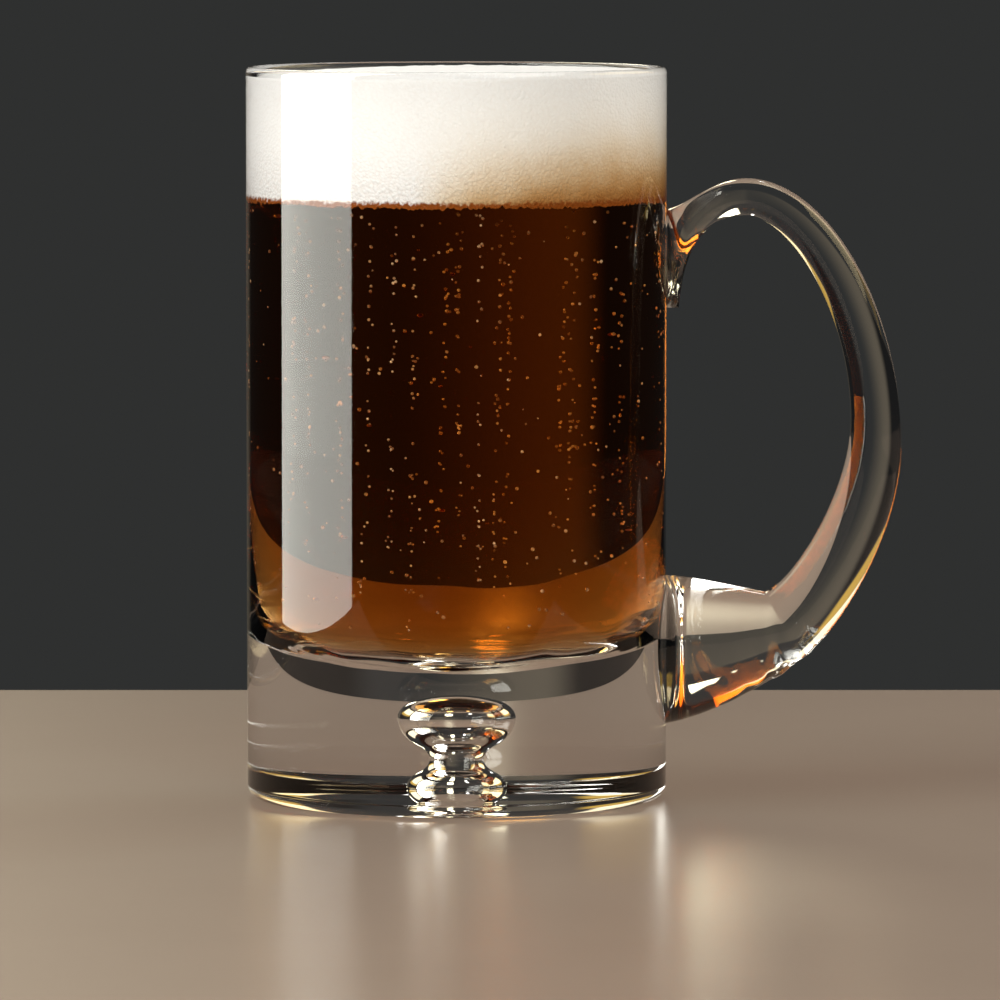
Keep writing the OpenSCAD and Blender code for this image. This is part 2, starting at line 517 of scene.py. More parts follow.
@dataclass(frozen=True)
class FoamFinish:
    """Fine froth: cream, tinted at its foot by the beer, with painted shade on the handle's side.

    Lengths are in millimetres. The rims of the bubbles show tan by three shares: all over, more at
    the foot, and more again at the foot on the handle's side, which is painted shade. The relief
    has a share all over and one more at the foot.
    """

    foot_z: float
    name: str = "beer_foam"
    cream: Triple = (0.93, 0.91, 0.865)
    tan: Triple = (0.50, 0.24, 0.07)
    wet: Triple = (0.24, 0.058, 0.007)
    # These five fields, and the blotch after them, set a painted brown shade on the handle's side,
    # away from the key lamp: loss of each colour, most depth, fall with height, and where across it
    # starts and is full.
    tint: Triple = (1.0, 1.85, 3.2)
    painted_shade_most: float = 1.5
    painted_shade_fall: float = 5.0
    painted_shade_from: float = -8.0
    painted_shade_to: float = 30.0
    blotch: float = 8.0
    wet_rise: float = 0.95
    wet_full: float = 0.285
    wet_rag: float = 2.0
    wet_grain: float = 0.8
    bubble: float = 0.62
    small_bubble: float = 0.279
    small_share: float = 0.4
    bubble_rim: Pair = (0.3, 0.75)
    foot_reach: float = 12.0
    rim_shares: Triple = (0.05, 0.08, 0.30)
    relief_shares: Pair = (0.3, 0.45)
    roughness: float = 0.55
    ior: float = 1.33

    def cream_with_painted_shade(self, sheet: NodeSheet, place: Socket, lean: Socket, height: Socket) -> Socket:
        """Colour of the froth between its rims: cream, with painted shade on the handle's side.

        The shade is painted on the side away from the key lamp, tinted brown as by a depth of beer.
        The depth grows towards the handle, falls with the height by a steady share per millimetre
        and is blotched by a noise. Each colour falls with the exponent of the depth.

        Args:
            sheet: Sheet of the material.
            place: Point that is shaded.
            lean: Nearness to the handle, from 0 to 1, which sets the painted shade.
            height: Height of the point.

        Returns:
            The colour.
        """
        below = sheet.math("SUBTRACT", self.foot_z * MM, height)
        fall = sheet.math("EXPONENT", sheet.math("MULTIPLY", below, 1 / (self.painted_shade_fall * MM)))
        blotch = sheet.noise(place, self.blotch, detail=3.0)
        most = sheet.math("MULTIPLY_ADD", blotch, self.painted_shade_most, self.painted_shade_most / 2)
        depth = sheet.math("MULTIPLY", sheet.math("MULTIPLY", lean, most), fall)
        kept = [
            sheet.math("EXPONENT", sheet.math("MULTIPLY", depth, -share)) for share in self.tint
        ]
        colour = [sheet.math("MULTIPLY", share, cream) for share, cream in zip(kept, self.cream)]
        return sheet.add("CombineColor", dict(enumerate(colour))).outputs[0]

    def material(self) -> bpy.types.Material:
        """Make the foam: cream with painted shade, tan rims, a wet foot, and bubbles that bump it.

        Returns:
            The material.
        """
        material, sheet = new_material(self.name)
        place = sheet.place()
        across, _, height = sheet.add("SeparateXYZ", {0: place}).outputs
        foot = self.foot_z * MM
        # lean masks the handle's side, away from the key lamp, where shade is painted.
        lean = sheet.ramp(across, self.painted_shade_from * MM, self.painted_shade_to * MM)
        low = sheet.ramp(height, foot + self.foot_reach * MM, foot)
        cell = sheet.cells(place, self.bubble, "F1")
        small = sheet.cells(place, self.small_bubble, "SMOOTH_F1")
        # Rim tan: a share all over, one more at the foot, and one more at the foot on the handle's
        # side, which is painted shade.
        all_over, at_foot, painted_shade_at_handle = self.rim_shares
        drained_and_painted_shade = sheet.math("MULTIPLY_ADD", lean, painted_shade_at_handle, at_foot)
        drained_and_painted_shade = sheet.math("ADD", sheet.math("MULTIPLY", low, drained_and_painted_shade), all_over)
        rim = sheet.math("MULTIPLY", sheet.ramp(cell, *self.bubble_rim), drained_and_painted_shade)
        shaded = sheet.blend(rim, self.cream_with_painted_shade(sheet, place, lean, height), (*self.tan, 1.0))
        grain = sheet.math("SUBTRACT", sheet.noise(place, self.wet_grain, detail=2.0), 0.5)
        ragged = sheet.math("MULTIPLY_ADD", grain, self.wet_rag * MM, height)
        wet = sheet.ramp(ragged, foot + self.wet_rise * MM, foot + self.wet_full * MM)
        colour = sheet.blend(wet, shaded, (*self.wet, 1.0))
        even, more = self.relief_shares
        relief = {
            "Height": sheet.math("MULTIPLY_ADD", small, self.small_share, cell),
            "Strength": sheet.math("MULTIPLY_ADD", low, more, even),
            "Distance": self.bubble / 2 * MM,
        }
        bump = sheet.add("Bump", relief, invert=True).outputs[0]
        look = {
            "Base Color": colour,
            "Roughness": self.roughness,
            "IOR": self.ior,
            "Normal": bump,
        }
        sheet.add("OutputMaterial", {"Surface": sheet.add("BsdfPrincipled", look).outputs[0]})
        return material


@dataclass(frozen=True)
class FloorFinish:
    """Pale satin table top with a faint cloudiness."""

    name: str = "pale_floor"
    light: Triple = (0.36, 0.27, 0.20)
    dark: Triple = (0.33, 0.245, 0.18)
    cloud: float = 1000 / 14
    roughness: float = 0.25

    def material(self) -> bpy.types.Material:
        """Make the floor: a noise of clouds mixes its two colours.

        Returns:
            The material.
        """
        material, sheet = new_material(self.name)
        cloud = sheet.noise(sheet.place(), self.cloud, detail=4.0)
        colour = sheet.blend(cloud, (*self.dark, 1.0), (*self.light, 1.0))
        look = {"Base Color": colour, "Roughness": self.roughness}
        sheet.add("OutputMaterial", {"Surface": sheet.add("BsdfPrincipled", look).outputs[0]})
        return material


# The mug


@dataclass
class BaseBubble:
    """The waisted air bubble in the base: mushroom cap, neck, and a lobe open at the foot."""

    height: float = 22.0
    cap_width: float = 16.0
    cap_rise: float = 4.8
    cap_edge: float = 4.0
    cap_under: float = 6.8
    neck_width: float = 7.4
    neck_z: float = 9.0
    neck_flare: float = 3.0
    lobe_width: float = 13.6
    lobe_z: float = 3.2

    def outline(self) -> np.ndarray:
        """Half of the bubble from its top to its mouth, as rounds that meet without a corner.

        Two circles that touch have their centres as far apart as their radii add up to, or differ
        by. That gives the radius of the cap's top, of the hollow above the neck and of the lobe.

        Returns:
            Points (r, z).
        """
        cap_z = self.height - self.cap_rise
        cap_x = self.cap_width / 2 - self.cap_edge
        top_rise = self.cap_rise - self.cap_edge
        top_r = (cap_x**2 + self.cap_rise**2 - self.cap_edge**2) / (2 * top_rise)
        top_z = self.height - top_r
        cap_turn = math.degrees(math.atan2(cap_z - top_z, cap_x))
        neck = self.neck_width / 2
        rise = cap_z - self.neck_z
        under_x = self.cap_width / 2 - self.cap_under
        inset = neck - under_x
        hollow_r = (inset**2 + rise**2 - self.cap_under**2) / (2 * (self.cap_under - inset))
        hollow_x = neck + hollow_r
        hollow_turn = math.degrees(math.atan2(rise, under_x - hollow_x))
        flare_x = neck + self.neck_flare
        drop = self.neck_z - self.lobe_z
        reach = flare_x - self.lobe_width / 2
        lobe_r = (self.neck_flare**2 - reach**2 - drop**2) / (2 * (reach - self.neck_flare))
        lobe_x = self.lobe_width / 2 - lobe_r
        flare_turn = math.degrees(math.atan2(drop, flare_x - lobe_x))
        mouth_turn = math.degrees(math.asin(-self.lobe_z / lobe_r))
        return join_outline(
            arc((0, top_z), top_r, 90, cap_turn),
            arc((cap_x, cap_z), self.cap_edge, cap_turn, 0),
            arc((under_x, cap_z), self.cap_under, 0, hollow_turn - 180),
            arc((hollow_x, self.neck_z), hollow_r, hollow_turn, 180),
            arc((flare_x, self.neck_z), self.neck_flare, 180, 180 + flare_turn),
            arc((lobe_x, self.lobe_z), lobe_r, flare_turn, mouth_turn),
        )


@dataclass
class GlassBody:
    """The blown body: straight wall with a fire-rounded rim, thick base that traps a bubble.

    Waves and ripples are what hot work leaves in the cup's floor. Each of their pairs says where
    they start and where they are full.
    """

    wall: float = 2.2
    base: float = 26.7
    floor_radius: float = 90.0
    floor_fillet: float = 10.0
    floor_margin: float = 2.0
    swell_radius: float = 90.0
    swell_turn: float = 26.0
    foot_edge: float = 3.0
    dry: float = 10.0
    wave: float = 0.22
    wave_length: float = 9.0
    wave_height: Pair = (22.0, 10.0)
    wave_out: Pair = (4.0, 14.0)
    wave_front: Pair = (10.0, -10.0)
    wave_seed: int = 5
    ripple: float = 0.14
    ripple_length: float = 4.5
    ripple_stretch: float = 0.35
    ripple_height: Pair = (10.0, 4.0)
    ripple_seed: int = 6
    work_middle: float = 60.0
    sides: int = 232
    floor_steps: tuple[int, int, int] = (48, 40, 64)
    bubble: BaseBubble = field(default_factory=BaseBubble)

    def __post_init__(self) -> None:
        """Take the outside radius and the height from the frame."""
        low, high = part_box("glass_body")
        self.radius = (high.x - low.x) / 2 / MM
        self.height = high.z / MM
        self.cup_radius = self.radius - self.wall

    def floor_outline(self, sunk: float = 0.0) -> np.ndarray:
        """Half of the cup's floor, from where the wall swells in to the axis.

        It is a swell, a fillet and a dish. The fillet touches both from inside, so its centre is
        as far from theirs as the radii differ by.

        Args:
            sunk: How far the outline lies behind the glass face.

        Returns:
            Points (r, z).
        """
        swell_x = self.cup_radius - self.swell_radius
        reach = self.swell_radius - self.floor_fillet
        fillet_x = swell_x + reach * math.cos(math.radians(self.swell_turn))
        dish_z = self.base + self.floor_radius
        fillet_z = dish_z - math.sqrt((self.floor_radius - self.floor_fillet) ** 2 - fillet_x**2)
        swell_z = fillet_z + reach * math.sin(math.radians(self.swell_turn))
        turn = math.degrees(math.atan2(fillet_z - dish_z, fillet_x))
        swell, fillet, dish = self.floor_steps
        return join_outline(
            arc((swell_x, swell_z), self.swell_radius + sunk, 0, -self.swell_turn, swell),
            arc((fillet_x, fillet_z), self.floor_fillet + sunk, -self.swell_turn, turn, fillet),
            arc((0, dish_z), self.floor_radius + sunk, turn, -90, dish),
        )

    def in_cup(self, points: np.ndarray) -> np.ndarray:
        """Return True for each point on the cup's floor or on the inside of its wall."""
        out = np.hypot(points[:, 0], points[:, 1])
        return (out < self.radius - self.wall / 2) & (points[:, 2] > self.base - self.floor_margin)

    def hand_worked(self, surface: Surface) -> Surface:
        """Push the cup's floor in and out by a smooth noise, away from the middle of the cup.

        The push is full at the front of the floor's edge and fades to the back, to the axis and up
        the wall, eased as 3 s^2 - 2 s^3. A fine ripple, drawn out across the view, lies all over
        the floor. The glass and the beer share both.

        Args:
            surface: Glass or beer with an even floor.

        Returns:
            The surface with its floor waved.
        """
        points = surface.points
        out, above = np.hypot(points[:, 0], points[:, 1]), points[:, 2] - self.base
        share = fade(above, *self.wave_height) * fade(out, *self.wave_out)
        share *= fade(points[:, 1], *self.wave_front)
        wave = self.wave * smooth_noise(points, self.wave_length, self.wave_seed)
        drawn_out = points * [self.ripple_stretch, 1, 0]
        ripple = self.ripple * smooth_noise(drawn_out, self.ripple_length, self.ripple_seed)
        push = wave * share**2 * (3 - 2 * share) + ripple * fade(above, *self.ripple_height)
        push *= self.in_cup(points)
        way = points - [0, 0, self.base + self.work_middle]
        way /= np.linalg.norm(way, axis=1, keepdims=True)
        return Surface(points + way * push[:, None], surface.quads, surface.triangles)

    def surface(self) -> Surface:
        """Spin the body about the axis: bubble, foot, foot edge, wall, rim and floor.

        Returns:
            The body.
        """
        rim = self.wall / 2
        edge = self.foot_edge
        bubble, floor = self.bubble.outline(), self.floor_outline()
        rim_z = self.height - rim
        profile = join_outline(
            bubble,
            run(bubble[-1], (self.radius - edge, 0)),
            arc((self.radius - edge, edge), edge, -90, 0),
            run((self.radius, edge), (self.radius, rim_z)),
            arc((self.radius - rim, rim_z), rim, 0, 180),
            run((self.cup_radius, rim_z), floor[0]),
            floor,
        )
        return self.hand_worked(revolve(profile, self.sides))

    def build(self, finish: GlassFinish, wetted: WettedGlassFinish) -> bpy.types.Object:
        """Make the body and dress it in glass, wetted on the inside up into the foam.

        Args:
            finish: Finish of the dry glass.
            wetted: Finish of the cup's floor and wall.

        Returns:
            The body.
        """
        piece = make_piece("mug_body", self.surface(), finish.material(), wetted.material())
        centres = np.empty(3 * len(piece.data.polygons))
        piece.data.polygons.foreach_get("center", centres)
        centres = centres.reshape(-1, 3) / MM
        wet = self.in_cup(centres) & (centres[:, 2] < self.height - self.dry)
        piece.data.polygons.foreach_set("material_index", wet.astype(np.int32))
        return settle(piece, Slot.GLASS, "glass_body")


@dataclass
class Span:
    """One stretch of the handle: its outer and inner outline, and its widths at both ends."""

    outer: np.ndarray
    inner: np.ndarray
    start_width: Pair
    end_width: Pair


@dataclass
class Handle:
    """The pulled handle: oval rings lofted between two outlines, fused to the wall at both ends.

    An arm is how far a cubic's second or third point stands from its first or fourth. A mark is a
    pinch of the tools under the heel, and a flute a fold that they left in the tail.
    """

    body: GlassBody
    reach: float = 47.5
    crown_z: float = 125.5
    crown_out: float = 16.0
    crown_thick: float = 7.6
    crown_width: float = 10.0
    root_dip: float = 6.2
    root_width: float = 13.0
    tail_height: float = 20.0
    tail_thick: float = 2.1
    tail_width: float = 11.5
    grip_thick: float = 10.2
    grip_width: float = 11.5
    grip_z: float = 71.5
    crook_out: float = 20.0
    crook_dip: float = 3.5
    heel_out: float = 27.8
    heel_z: float = 28.3
    heel_width: float = 15.0
    pad_z: float = 14.5
    pad_height: float = 30.7
    pad_width: float = 23.0
    pad_foot_width: float = 18.0
    flare: float = 4.0
    flare_reach: float = 4.0
    root_arm: Pair = (4.5, 0.8)
    tail_arm: Pair = (0.7, 7.5)
    crown_arm: Pair = (6.7, 0.0)
    crown_in_arm: Pair = (10.7, 0.0)
    outer_bow: Pair = (0.52, 0.52)
    inner_bow: Pair = (0.42, 0.52)
    grip_bow: float = 0.42
    heel_arm: Pair = (7.5, 5.7)
    crook_arm: Pair = (5.5, 1.6)
    crook_in_arm: Pair = (6.0, -0.9)
    pad_arm: float = 6.0
    mark: float = 0.3
    mark_length: float = 3.2
    mark_reach: float = 9.0
    mark_inset: Pair = (5.0, 3.0)
    mark_side: Pair = (-0.2, 0.8)
    mark_seed: int = 9
    flute: float = 0.35
    flute_step: float = 3.4
    flute_height: Pair = (15.0, 3.0)
    flute_below: float = 2.0
    flute_rise: Pair = (0.0, 1.2)
    flute_end: Pair = (8.0, 5.0)
    bed: float = 4.0
    sunk: float = 0.4
    sides: int = 72
    rings: tuple[int, ...] = (10, 60, 60, 60, 60)
    cap_sizes: Triple = (0.3, 0.6, 0.85)
    crossing_steps: int = 800

    @property
    def joint_radius(self) -> float:
        """Radius of the joint's face, a little inside the wall."""
        return self.body.radius - self.sunk

    def spans(self) -> list[Span]:
        """Lay out the stretches of the handle, from the upper joint to the lower one.

        Distances are from the wall, then heights. Each outline is a cubic that leaves its first
        point towards the second and reaches the fourth from the third.

        Returns:
            The stretches, in order.
        """
        root_z = self.crown_z - self.root_dip
        root, tail = np.array([0, root_z]), np.array([self.tail_thick, root_z - self.tail_height])
        crown = np.array([self.crown_out, self.crown_z])
        crown_in = crown - [0, self.crown_thick]
        far = np.array([self.reach, self.grip_z])
        near = far + [-self.grip_thick, self.grip_thick / 2]
        heel = np.array([self.heel_out, self.heel_z])
        crook = np.array([self.crook_out, self.pad_z + self.pad_height - self.crook_dip])
        pad_foot = np.array([-self.bed, self.pad_z])
        pad_top = pad_foot + [0, self.pad_height]
        heel_arm = np.array(self.heel_arm)
        pad_arm = np.array([self.bed + self.pad_arm, 0])
        outer_drop = np.array([0, (heel[1] - far[1]) * self.grip_bow])
        inner_drop = np.array([0, (crook[1] - near[1]) * self.grip_bow])
        upper, crowned = (self.root_width, self.tail_width), (self.crown_width,) * 2
        grip, heeled = (self.grip_width,) * 2, (self.heel_width,) * 2
        return [
            Span(
                straight([-self.bed, root[1]], root),
                straight([-self.bed, tail[1]], tail),
                upper,
                upper,
            ),
            Span(
                np.array([root, root + self.root_arm, crown - self.crown_arm, crown]),
                np.array([tail, tail + self.tail_arm, crown_in - self.crown_in_arm, crown_in]),
                upper,
                crowned,
            ),
            Span(
                bow(crown, far, *self.outer_bow),
                bow(crown_in, near, *self.inner_bow),
                crowned,
                grip,
            ),
            Span(
                np.array([far, far + outer_drop, heel + heel_arm, heel]),
                np.array([near, near + inner_drop, crook + self.crook_arm, crook]),
                grip,
                heeled,
            ),
            Span(
                np.array([heel, heel - heel_arm, pad_foot + pad_arm, pad_foot]),
                np.array([crook, crook - self.crook_in_arm, pad_top + pad_arm, pad_top]),
                heeled,
                (self.pad_foot_width, self.pad_width),
            ),
        ]

    def points(self, span: Span, t: np.ndarray) -> np.ndarray:
        """Points of the loft at share t of a span, one column for each side of the ring.

        A ring is an oval. The cosine of its angle runs from the inner to the outer outline. The
        sine is a share of half the width there, which flares with the square of the nearness to
        the wall.

        Args:
            span: The stretch of the handle.
            t: Shares of shape (rings, sides), or (rings, 1).

        Returns:
            Points of shape (rings, sides, 3).
        """
        angle = np.linspace(0, 2 * np.pi, self.sides, endpoint=False)
        share = (1 + np.cos(angle)) / 2
        t = t + 0 * share
        outer, inner = cubic(span.outer, t), cubic(span.inner, t)
        place = inner + (outer - inner) * share[:, None]
        wide = [a + (b - a) * t for a, b in zip(span.start_width, span.end_width)]
        near_wall = fade(place[..., 0], self.flare_reach, 0)
        width = wide[1] + (wide[0] - wide[1]) * share + self.flare * near_wall**2
        across = np.sin(angle) * width / 2
        return np.stack([self.body.radius + place[..., 0], across, place[..., 1]], axis=-1)

    def wall_crossing(self, span: Span, leaves: bool) -> np.ndarray:
        """Share of a span at which each side of the ring passes the joint's face in the wall.

        The span is sampled, and the share lies on the straight line between the samples on either
        side of the face.

        Args:
            span: First or last stretch of the handle.
            leaves: True if the span leaves the wall, False if it runs into it.

        Returns:
            One share for each side.
        """
        t = np.linspace(0, 1, self.crossing_steps + 1)
        x, y, _ = np.moveaxis(self.points(span, t[:, None]), -1, 0)
        depth = np.hypot(x, y) - self.joint_radius
        outside = depth > 0 if leaves else depth < 0
        after = np.argmax(outside, axis=0)
        side = np.arange(self.sides)
        d0, d1 = depth[after - 1, side], depth[after, side]
        return t[after - 1] + (t[after] - t[after - 1]) * d0 / (d0 - d1)

    def cap(self, ring: np.ndarray, sizes: np.ndarray) -> tuple[np.ndarray, np.ndarray]:
        """Rings that close an end of the handle: the end ring, drawn in on the joint's face.

        The face is laid flat as angle and height, where each ring shrinks towards its middle.

        Args:
            ring: End ring, on the joint's face.
            sizes: Size of each closing ring, as a share of the end ring.

        Returns:
            The closing rings, and the pole in their middle.
        """
        flat = np.stack([np.arctan2(ring[:, 1], ring[:, 0]), ring[:, 2]], axis=-1)
        middle = flat.mean(axis=0)
        flat = middle + (flat - middle) * np.append(sizes, 0)[:, None, None]
        angle, z = flat[..., 0], flat[..., 1]
        radius = self.joint_radius
        rings = np.stack([radius * np.cos(angle), radius * np.sin(angle), z], axis=-1)
        return rings[:-1], rings[-1, 0]

    def tool_marks(self, loft: np.ndarray) -> np.ndarray:
        """Add the dents that the tools left: pinches under the heel, and flutes down the tail.

        A pinch pushes a point away from the middle of its ring by a smooth noise, which fades with
        the distance from the heel. A flute pushes it away from the wall by a cosine across the
        tail, which fades upwards.

        Args:
            loft: Rings of shape (rings, sides, 3).

        Returns:
            The marked rings.
        """
        heel = np.array([self.body.radius + self.heel_out, self.heel_z]) - self.mark_inset
        away = np.linalg.norm(loft[..., [0, 2]] - heel, axis=-1)
        way = loft - loft.mean(axis=1, keepdims=True)
        way /= np.linalg.norm(way, axis=-1, keepdims=True)
        angle = np.linspace(0, 2 * np.pi, self.sides, endpoint=False)
        pinch = self.mark * smooth_noise(loft, self.mark_length, self.mark_seed)
        pinch *= fade(np.cos(angle), *self.mark_side)
        pinch *= np.exp(-((away / self.mark_reach) ** 2))
        above = loft[..., 2] - (self.crown_z - self.root_dip - self.tail_height)
        out = np.hypot(loft[..., 0], loft[..., 1]) - self.body.radius
        low = fade(above, *self.flute_height) * (above > -self.flute_below)
        near_wall = fade(out, *self.flute_rise) * fade(out, *self.flute_end)
        flute = self.flute * np.cos(2 * np.pi * loft[..., 1] / self.flute_step) * low * near_wall
        return loft + way * pinch[..., None] + flute[..., None] * np.array([1, 0, 0])

    def surface(self) -> Surface:
        """Stack the rings of all the stretches, with both ends cut and closed by the joint's face.

        Returns:
            The handle as one closed loft.
        """
        spans = self.spans()
        rings = []
        for index, (span, count) in enumerate(zip(spans, self.rings)):
            start = self.wall_crossing(span, leaves=True) if index == 0 else 0.0
            end = self.wall_crossing(span, leaves=False) if index == len(spans) - 1 else 1.0
            share = np.linspace(0, 1, count + 1)[(1 if index else 0):, None]
            rings.append(self.points(span, start + (end - start) * share))
        loft = self.tool_marks(np.concatenate(rings))
        sizes = np.array(self.cap_sizes)
        first, first_pole = self.cap(loft[0], sizes)
        last, last_pole = self.cap(loft[-1], sizes[::-1])
        return stack_rings(np.concatenate([first, loft, last]), first_pole, last_pole)

    def build(self, finish: GlassFinish) -> bpy.types.Object:
        """Make the handle and dress it in glass."""
        piece = make_piece("mug_handle", self.surface(), finish.material())
        return settle(piece, Slot.GLASS, "handle")


@dataclass
class Beer:
    """The liquid, which wets the glass: its face lies a little inside the wall and the floor."""

    body: GlassBody
    sunk: float = 0.15
    sides: int = 232

    def __post_init__(self) -> None:
        """Take the level of the beer from the frame."""
        self.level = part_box("beer")[1].z / MM

    def surface(self) -> Surface:
        """Spin the beer about the axis: a level top, the wall and the dished floor.

        Returns:
            The beer.
        """
        floor = self.body.floor_outline(self.sunk)
        brim = (self.body.cup_radius + self.sunk, self.level)
        profile = join_outline(run((0, self.level), brim), run(brim, floor[0]), floor)
        return self.body.hand_worked(revolve(profile[::-1], self.sides))

    def build(self, finish: BeerFinish) -> bpy.types.Object:
        """Make the beer and dress it."""
        piece = make_piece("beer_fill", self.surface(), finish.material())
        return settle(piece, Slot.BEER, "beer")


@dataclass
class GasBubbles:
    """Gas in the beer: strings that climb behind the front wall, and loose beads between them.

    The strings are given by their distance across. Drift is a mean and a scatter, growth a start
    and a gain, and spread a least and a most.
    """

    body: GlassBody
    beer: Beer
    strings: tuple[float, ...] = (
        -39.2, -28.5, -26, -20.3, -16.7, -12, -8, -2.2, 0.4,
        4.5, 7.4, 9.2, 18.5, 21, 24.6, 29.3, 38,
    )
    string_count: int = 34
    string_start: float = 0.35
    string_depth: float = 1.5
    drift: Pair = (0.8, 1.2)
    jitter: float = 0.3
    growth: Pair = (0.25, 0.5)
    spread: Pair = (0.5, 1.3)
    bead_count: int = 260
    back_count: int = 30
    inset: float = 0.9
    side_gap: float = 1.5
    headroom: float = 1.5
    deepest: float = 15.0
    crowding: float = 1.5
    widest: float = 0.985
    farthest: float = 0.5
    lowest: float = 36.0
    least: float = 0.17
    most: float = 0.40
    seed: int = 7

    def surface(self) -> Surface:
        """Place the bubbles by a distance across, a depth behind the front wall and a height.

        Each string has its own depth and start, drifts a little to one side, and its bubbles grow
        as they rise. The last of the loose beads lie in front of the back wall instead.

        Returns:
            All the bubbles.
        """
        rng = np.random.default_rng(self.seed)
        low, high = self.lowest, self.beer.level - self.headroom
        place = np.array(self.strings)[:, None]
        start = rng.uniform(low, self.string_start * (low + high), place.shape)
        share = np.sort(rng.uniform(0, 1, (len(place), self.string_count)), axis=1)
        drift = rng.normal(*self.drift, place.shape) * (share - 0.5)
        across = place + drift + rng.normal(0, self.jitter, share.shape)
        back = rng.uniform(0, 1, place.shape) ** self.crowding * self.deepest
        back = back + rng.uniform(0, self.string_depth, share.shape)
        grown = self.growth[0] + self.growth[1] * share
        grown = (self.most - self.least) * grown * rng.uniform(*self.spread, share.shape)
        loose = self.bead_count + self.back_count
        reach = self.body.cup_radius - self.side_gap
        across = np.append(across, rng.uniform(-1, 1, loose) * reach)
        back = np.append(back, rng.uniform(0, 1, loose) ** self.crowding * self.deepest)
        z = np.append(start + (high - start) * share, rng.uniform(low, high, loose))
        size = np.append(self.least + grown, rng.uniform(self.least, self.most, loose))
        side = np.where(np.arange(len(z)) < len(z) - self.back_count, -1.0, 1.0)
        floor = self.body.floor_outline()[::-1]
        reach = np.interp(z, floor[:, 1], floor[:, 0]) - self.inset
        across = np.clip(across, -self.widest * reach, self.widest * reach)
        half = np.sqrt(reach**2 - across**2)
        along = side * np.maximum(half - back, -self.farthest * half)
        return scatter(np.stack([across, along, z], axis=1), size)

    def build(self, finish: GasFinish) -> bpy.types.Object:
        """Make the bubbles and dress them."""
        return settle(make_piece("gas_bubbles", self.surface(), finish.material()), Slot.BEER)


@dataclass
class FoamHead:
    """The froth from the beer to the rim, with a ragged foot and a lumpy crown."""

    body: GlassBody
    beer: Beer
    sunk: float = 0.1
    edge_drop: float = 0.8
    crown_rise: float = 0.8
    lean: float = 0.5
    foot_dip: float = 0.35
    foot_rag: float = 0.35
    foot_rag_length: float = 0.8
    foot_rag_seed: int = 11
    foot_rag_fall: int = 8
    foot_sway: float = 0.25
    foot_sway_length: float = 14.0
    foot_sway_seed: int = 13
    foot_sway_waves: int = 20
    lump: float = 0.1
    lump_length: float = 3.0
    lump_edge: float = 3.0
    lump_seed: int = 12
    fine_waves: int = 120
    sides: int = 720
    foot_rings: int = 8
    foot_middle: float = 0.1
    side_rings: int = 40
    crown_rings: int = 60

    def foot_line(self, line: np.ndarray) -> np.ndarray:
        """Wander of the foot's edge: a fine noise for its rags and a slow one for its sway.

        Args:
            line: Points of the edge.

        Returns:
            Height of each point over an even foot.
        """
        rag = smooth_noise(line, self.foot_rag_length, self.foot_rag_seed, self.fine_waves)
        sway = smooth_noise(line, self.foot_sway_length, self.foot_sway_seed, self.foot_sway_waves)
        return rag * self.foot_rag + sway * self.foot_sway

    def surface(self) -> Surface:
        """Stack rings from the middle of the foot, up the side, to the middle of the crown.

        The side is a cylinder whose lowest ring wanders by a noise in the angle. The crown falls
        with the square of the distance from the axis, and a noise of lumps is added to it. The top
        leans up towards the handle.

        Returns:
            The foam.
        """
        angle = np.linspace(0, 2 * np.pi, self.sides, endpoint=False)
        around = np.stack([np.cos(angle), np.sin(angle)], axis=-1)
        radius = self.body.cup_radius + self.sunk
        foot_z = self.beer.level - self.foot_dip
        edge_z = self.body.height - self.edge_drop + self.lean * around[:, 0] - self.lean
        rag = self.foot_line(around * radius)
        foot_r = np.linspace(self.foot_middle, 1, self.foot_rings)[:, None] * radius
        side_z = np.linspace(0, 1, self.side_rings)[:, None]
        crown_r = (1 - np.linspace(0, 1, self.crown_rings)[1:-1, None]) * radius
        r = np.concatenate([foot_r, np.full_like(side_z, radius), crown_r])
        flat = r[..., None] * around
        top_z = self.body.height - self.edge_drop + self.crown_rise
        crown_z = top_z + (edge_z - top_z) * (crown_r / radius) ** 2
        crown = flat[-len(crown_r):]
        lumps = smooth_noise(crown, self.lump_length, self.lump_seed, self.fine_waves) * self.lump
        lumps *= fade(crown_r, radius, radius - self.lump_edge)
        z = np.concatenate(
            [
                foot_z + rag * (foot_r / radius) ** self.foot_rag_fall,
                foot_z + rag + (edge_z - foot_z - rag) * side_z,
                crown_z + lumps,
            ]
        )
        rings = np.concatenate([flat, z[..., None]], axis=-1)
        return stack_rings(rings, np.array([0, 0, foot_z]), np.array([0, 0, top_z]))

    def build(self, finish: FoamFinish) -> bpy.types.Object:
        """Make the foam and dress it."""
        piece = make_piece("foam_crown", self.surface(), finish.material())
        return settle(piece, Slot.FOAM, "foam_head")


# Stage


@dataclass(frozen=True)
class Lamp:
    """A soft lamp: where it stands, how large it is and how strong, in metres and watts."""

    name: str
    place: Triple
    size: Pair
    power: float
    tint: Triple = (1.0, 1.0, 1.0)

    def build(self, target: Vector) -> None:
        """Make the lamp, seen only by what it lights.

        Args:
            target: Point that it is aimed at.
        """
        data = bpy.data.lights.new(self.name, "AREA")
        data.shape = "RECTANGLE"
        data.size, data.size_y = self.size
        data.energy = self.power
        data.color = self.tint
        lamp = bpy.data.objects.new(self.name, data)
        lamp.location = self.place
        lamp.rotation_euler = (target - Vector(self.place)).to_track_quat("-Z", "Y").to_euler()
        lamp.visible_camera = lamp.visible_glossy = lamp.visible_transmission = False
        bpy.context.scene.collection.objects.link(lamp)


@dataclass(frozen=True)
class Card:
    """A light card far round the mug, from degree to degree of a turn and of a lift.

    A turn counts from straight behind the mug towards -X, and a lift from level. Polished glass
    shows every card. Satin faces, as the table's, show only those that are on them.
    """

    turn: Pair
    lift: Pair
    colour: Triple
    strength: float
    soft: float = 1.0
    on_satin: bool = False


